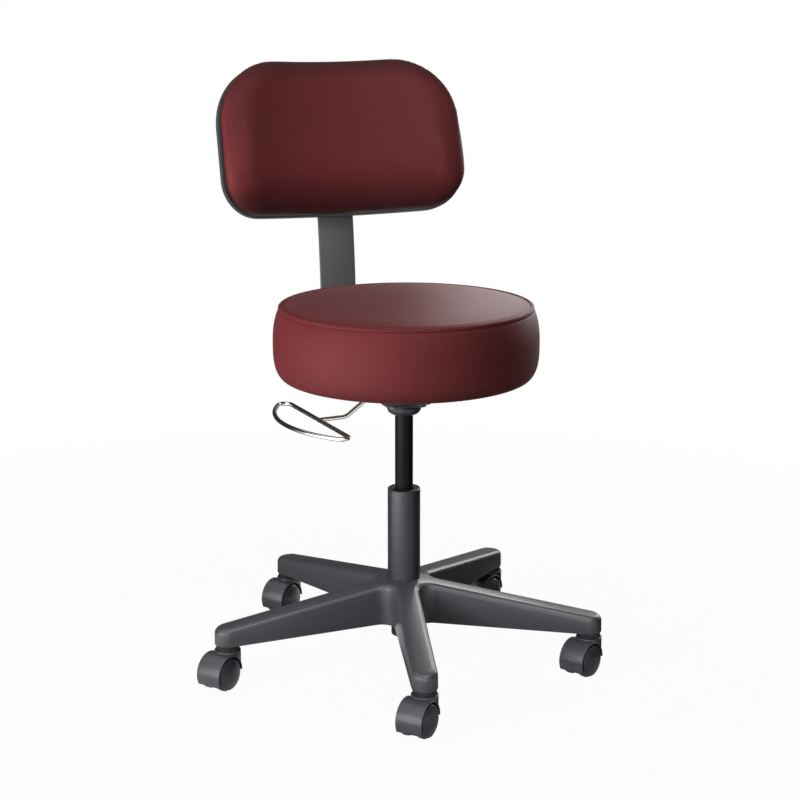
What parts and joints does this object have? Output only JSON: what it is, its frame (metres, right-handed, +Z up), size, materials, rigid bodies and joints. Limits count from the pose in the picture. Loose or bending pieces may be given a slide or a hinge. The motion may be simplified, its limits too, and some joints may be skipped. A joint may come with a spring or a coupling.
{
  "type": "stool with backrest",
  "caption": "Round upholstered clinic stool with a curved backrest on a bent flat-bar upright, a gas column with ring lever, and a star base on hooded twin-wheel casters.",
  "frame": {"origin": "on the floor under the middle of the stool's bounding box", "axes": "+Z up along the column; the sitter faces -Y, the backrest stands at +Y and the release lever lies at -X, on the sitter's right"},
  "size_m": [0.6107, 0.7158, 0.9126],
  "materials": {
    "bar_paint": "satin powder coat",
    "base_plastic": "satin moulding",
    "bracket_paint": "satin powder coat",
    "bright_steel": "bright zinc",
    "burgundy_vinyl": "satin grained vinyl",
    "bush_plastic": "smooth moulding",
    "chrome": "polished",
    "foam": "open-cell foam",
    "hood_plastic": "satin moulding",
    "piston_black": "satin black",
    "plywood": "plain plywood",
    "rubber": "matte",
    "shell_plastic": "fine-textured moulding",
    "tube_paint": "satin powder coat",
    "wheel_plastic": "smooth moulding"
  },
  "bodies": {
    "base": {"base_star": "base_plastic", "outer_tube": "tube_paint", "guide_bush": "bush_plastic", "thrust_bearing": "bright_steel", "caster_stem_front": "bright_steel", "caster_stem_right": "bright_steel", "caster_stem_rear_right": "bright_steel", "caster_stem_rear_left": "bright_steel", "caster_stem_left": "bright_steel"},
    "spindle": {"piston_rod": "bright_steel", "piston_head": "bush_plastic", "rod_clip": "bright_steel", "bump_stop": "rubber"},
    "seat": {"pressure_tube": "piston_black", "rod_guide": "bush_plastic", "taper_socket": "bracket_paint", "seat_bracket": "bracket_paint", "lever_pivot_pin": "bright_steel", "seat_screw_1": "bright_steel", "seat_screw_2": "bright_steel", "seat_screw_3": "bright_steel", "seat_screw_4": "bright_steel", "upright_bolt_left": "bright_steel", "upright_bolt_right": "bright_steel", "seat_board": "plywood", "seat_foam": "foam", "seat_cover": "burgundy_vinyl", "back_upright": "bar_paint", "back_shell": "shell_plastic", "back_board": "plywood", "back_foam": "foam", "back_cover": "burgundy_vinyl", "back_bolt_lower": "bright_steel", "back_bolt_upper": "bright_steel"},
    "lever": {"release_lever": "chrome"},
    "valve": {"valve_pin": "bright_steel"},
    "caster_front": {"caster_hood_front": "hood_plastic", "caster_axle_front": "bright_steel"},
    "wheel_front_left": {"wheel_front_left": "wheel_plastic"},
    "wheel_front_right": {"wheel_front_right": "wheel_plastic"},
    "caster_right": {"caster_hood_right": "hood_plastic", "caster_axle_right": "bright_steel"},
    "wheel_right_left": {"wheel_right_left": "wheel_plastic"},
    "wheel_right_right": {"wheel_right_right": "wheel_plastic"},
    "caster_rear_right": {"caster_hood_rear_right": "hood_plastic", "caster_axle_rear_right": "bright_steel"},
    "wheel_rear_right_left": {"wheel_rear_right_left": "wheel_plastic"},
    "wheel_rear_right_right": {"wheel_rear_right_right": "wheel_plastic"},
    "caster_rear_left": {"caster_hood_rear_left": "hood_plastic", "caster_axle_rear_left": "bright_steel"},
    "wheel_rear_left_left": {"wheel_rear_left_left": "wheel_plastic"},
    "wheel_rear_left_right": {"wheel_rear_left_right": "wheel_plastic"},
    "caster_left": {"caster_hood_left": "hood_plastic", "caster_axle_left": "bright_steel"},
    "wheel_left_left": {"wheel_left_left": "wheel_plastic"},
    "wheel_left_right": {"wheel_left_right": "wheel_plastic"}
  },
  "joints": [
    {"name": "seat_swivel", "type": "hinge", "parent": "base", "child": "spindle", "pos_m": [0.039, -0.0265, 0.2], "axis": [0, 0, 1], "continuous": true},
    {"name": "seat_height", "type": "slide", "parent": "spindle", "child": "seat", "axis": [0, 0, 1], "range_m": [-0.105, 0.03]},
    {"name": "lever_pull", "type": "hinge", "parent": "seat", "child": "lever", "pos_m": [0.009, -0.0265, 0.4392], "axis": [0, 1, 0], "range_deg": [0, 7], "stiffness_Nm_per_rad": 4, "springref_deg": -8.59},
    {"name": "valve_press", "type": "slide", "parent": "seat", "child": "valve", "axis": [0, 0, -1], "range_m": [0, 0.0042]},
    {"name": "swivel_front", "type": "hinge", "parent": "base", "child": "caster_front", "pos_m": [-0.03522, -0.30943, 0.0572], "axis": [0, 0, 1], "continuous": true},
    {"name": "roll_front_left", "type": "hinge", "parent": "caster_front", "child": "wheel_front_left", "pos_m": [-0.04099, -0.33404, 0.0262], "axis": [0.6561, -0.7547, 0], "continuous": true},
    {"name": "roll_front_right", "type": "hinge", "parent": "caster_front", "child": "wheel_front_right", "pos_m": [-0.06041, -0.31171, 0.0262], "axis": [0.6561, -0.7547, 0], "continuous": true},
    {"name": "swivel_right", "type": "hinge", "parent": "base", "child": "caster_right", "pos_m": [0.28514, -0.18452, 0.0572], "axis": [0, 0, 1], "continuous": true},
    {"name": "roll_right_left", "type": "hinge", "parent": "caster_right", "child": "wheel_right_left", "pos_m": [0.27519, -0.20776, 0.0262], "axis": [0.515, -0.8572, 0], "continuous": true},
    {"name": "roll_right_right", "type": "hinge", "parent": "caster_right", "child": "wheel_right_right", "pos_m": [0.25995, -0.18239, 0.0262], "axis": [0.515, -0.8572, 0], "continuous": true},
    {"name": "swivel_rear_right", "type": "hinge", "parent": "base", "child": "caster_rear_right", "pos_m": [0.26535, 0.15876, 0.0572], "axis": [0, 0, 1], "continuous": true},
    {"name": "roll_rear_right_left", "type": "hinge", "parent": "caster_rear_right", "child": "wheel_rear_right_left", "pos_m": [0.25663, 0.13503, 0.0262], "axis": [0.5592, -0.829, 0], "continuous": true},
    {"name": "roll_rear_right_right", "type": "hinge", "parent": "caster_rear_right", "child": "wheel_rear_right_right", "pos_m": [0.24008, 0.15957, 0.0262], "axis": [0.5592, -0.829, 0], "continuous": true},
    {"name": "swivel_rear_left", "type": "hinge", "parent": "base", "child": "caster_rear_left", "pos_m": [-0.06725, 0.24602, 0.0572], "axis": [0, 0, 1], "continuous": true},
    {"name": "roll_rear_left_left", "type": "hinge", "parent": "caster_rear_left", "child": "wheel_rear_left_left", "pos_m": [-0.07514, 0.222, 0.0262], "axis": [0.5878, -0.809, 0], "continuous": true},
    {"name": "roll_rear_left_right", "type": "hinge", "parent": "caster_rear_left", "child": "wheel_rear_left_right", "pos_m": [-0.09254, 0.24594, 0.0262], "axis": [0.5878, -0.809, 0], "continuous": true},
    {"name": "swivel_left", "type": "hinge", "parent": "base", "child": "caster_left", "pos_m": [-0.25301, -0.04334, 0.0572], "axis": [0, 0, 1], "continuous": true},
    {"name": "roll_left_left", "type": "hinge", "parent": "caster_left", "child": "wheel_left_left", "pos_m": [-0.26048, -0.06749, 0.0262], "axis": [0.6018, -0.7986, 0], "continuous": true},
    {"name": "roll_left_right", "type": "hinge", "parent": "caster_left", "child": "wheel_left_right", "pos_m": [-0.27829, -0.04385, 0.0262], "axis": [0.6018, -0.7986, 0], "continuous": true}
  ],
  "couplings": [
    {"joint": "valve_press", "follows": "lever_pull", "m_per_rad": 0.0325}
  ]
}
